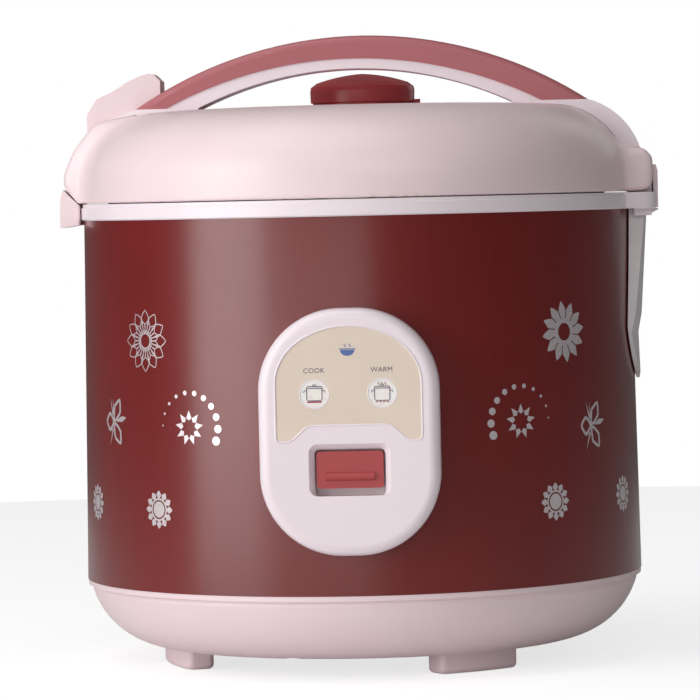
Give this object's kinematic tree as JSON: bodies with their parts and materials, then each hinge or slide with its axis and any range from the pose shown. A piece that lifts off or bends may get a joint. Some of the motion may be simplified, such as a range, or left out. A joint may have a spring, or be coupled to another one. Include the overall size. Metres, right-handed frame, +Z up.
{
  "type": "rice cooker",
  "caption": "Jar-type electric rice cooker: round body with a printed steel casing, hinged domed lid with carrying handle, push-button catch, steam vent, dew collector and front cook lever.",
  "frame": {"origin": "on the body's axis, on the surface that the feet stand on", "axes": "+Z up, -Y towards the front panel, +X towards the lid's hinge"},
  "size_m": [0.2834, 0.2832, 0.2958],
  "materials": {
    "pink_plastic": "moulded gloss",
    "red_plastic": "moulded satin",
    "printed_steel": "printed and lacquered sheet",
    "clear_plastic": "translucent",
    "aluminium_sheet": "rolled",
    "pot_aluminium": "satin",
    "cast_aluminium": "machined",
    "plated_steel": "zinc plated",
    "magnet_black": "sintered",
    "dark_plastic": "moulded",
    "brass": "plain",
    "white_ceramic": "glazed",
    "pale_plastic": "moulded",
    "silicone": "soft",
    "lamp_lens": "translucent",
    "lamp_glass": "clear",
    "circuit_board": "phenolic board",
    "label_beige": "printed film"
  },
  "bodies": {
    "cooker_body": {"base_shell": "pink_plastic", "upper_ring": "pink_plastic", "latch_keeper": "pink_plastic", "hinge_cover": "pink_plastic", "panel_bezel": "pink_plastic", "outer_casing": "printed_steel", "inner_liner": "aluminium_sheet", "side_heater_band": "aluminium_sheet", "heating_plate": "cast_aluminium", "heater_element": "cast_aluminium", "base_screws": "plated_steel", "base_nuts": "plated_steel", "plate_screws": "plated_steel", "plate_spacers": "plated_steel", "panel_screws": "plated_steel", "hinge_pin": "plated_steel", "hinge_spring": "plated_steel", "lever_pin": "plated_steel", "lever_bracket": "plated_steel", "thermostat_spring": "plated_steel", "thermostat_frame": "plated_steel", "power_switch": "dark_plastic", "terminal_block": "dark_plastic", "power_inlet": "dark_plastic", "keep_warm_thermostat": "dark_plastic", "inlet_pins": "brass", "thermal_fuse": "white_ceramic", "cook_lamp_lens": "lamp_lens", "warm_lamp_lens": "lamp_lens", "neon_lamps": "lamp_glass", "lamp_board": "circuit_board", "panel_label": "label_beige"},
    "lid": {"lid_shell": "pink_plastic", "lid_inner_panel": "pale_plastic", "lid_screws": "plated_steel", "vent_well": "pale_plastic", "inner_lid": "aluminium_sheet", "inner_lid_gasket": "silicone", "inner_lid_knob": "silicone", "handle_cover": "red_plastic", "handle_lower": "pink_plastic", "grip_screws": "plated_steel", "leg_screws": "plated_steel", "latch_pin": "plated_steel", "button_spring": "plated_steel"},
    "inner_pot": {"inner_pot": "pot_aluminium"},
    "thermostat_cup": {"thermostat_cup": "plated_steel", "thermostat_ferrite": "magnet_black"},
    "magnet": {"thermostat_magnet": "magnet_black", "magnet_rod": "plated_steel"},
    "switch_lever": {"switch_lever": "plated_steel"},
    "cook_lever": {"cook_lever": "red_plastic"},
    "dew_collector": {"dew_collector": "clear_plastic"},
    "release_button": {"release_button": "pink_plastic"},
    "latch_hook": {"latch_hook": "dark_plastic"},
    "steam_vent_cap": {"steam_vent_cap": "red_plastic", "vent_gasket": "silicone"}
  },
  "joints": [
    {"name": "lid_hinge", "type": "hinge", "parent": "cooker_body", "child": "lid", "pos_m": [0.1348, 0, 0.2255], "axis": [0, 1, 0], "range_deg": [0, 85]},
    {"name": "release_button_press", "type": "slide", "parent": "lid", "child": "release_button", "axis": [0, 0, -1], "range_m": [0, 0.0019], "stiffness_N_per_m": 500, "springref_m": -0.002, "deforming": ["button_spring"]},
    {"name": "latch_hook_turn", "type": "hinge", "parent": "lid", "child": "latch_hook", "pos_m": [-0.127, 0, 0.238], "axis": [0, 1, 0], "range_deg": [0, 4.5]},
    {"name": "steam_vent_lift", "type": "slide", "parent": "lid", "child": "steam_vent_cap", "axis": [0, 0, 1], "range_m": [0, 0.032]},
    {"name": "inner_pot_turn", "type": "hinge", "parent": "cooker_body", "child": "inner_pot", "pos_m": [0, 0, 0.0681], "axis": [0, 0, 1], "continuous": true},
    {"name": "cook_lever_press", "type": "slide", "parent": "cooker_body", "child": "cook_lever", "axis": [0, 0, -1], "range_m": [0, 0.003], "stiffness_N_per_m": 300, "springref_m": -0.004},
    {"name": "switch_lever_turn", "type": "hinge", "parent": "cooker_body", "child": "switch_lever", "pos_m": [0, -0.07362, 0.0347], "axis": [1, 0, 0], "range_deg": [0, 3.6]},
    {"name": "magnet_lift", "type": "slide", "parent": "cooker_body", "child": "magnet", "axis": [0, 0, 1], "range_m": [0, 0.00455]},
    {"name": "thermostat_cup_press", "type": "slide", "parent": "cooker_body", "child": "thermostat_cup", "axis": [0, 0, -1], "range_m": [0, 0.0015], "stiffness_N_per_m": 400, "springref_m": -0.003, "deforming": ["thermostat_spring"]},
    {"name": "dew_collector_pull", "type": "slide", "parent": "cooker_body", "child": "dew_collector", "axis": [1, 0, 0], "range_m": [0, 0.03]}
  ],
  "couplings": [
    {"joint": "latch_hook_turn", "follows": "release_button_press", "rad_per_m": 40},
    {"joint": "switch_lever_turn", "follows": "cook_lever_press", "rad_per_m": 20.375},
    {"joint": "magnet_lift", "follows": "cook_lever_press", "ratio": 1.5}
  ]
}
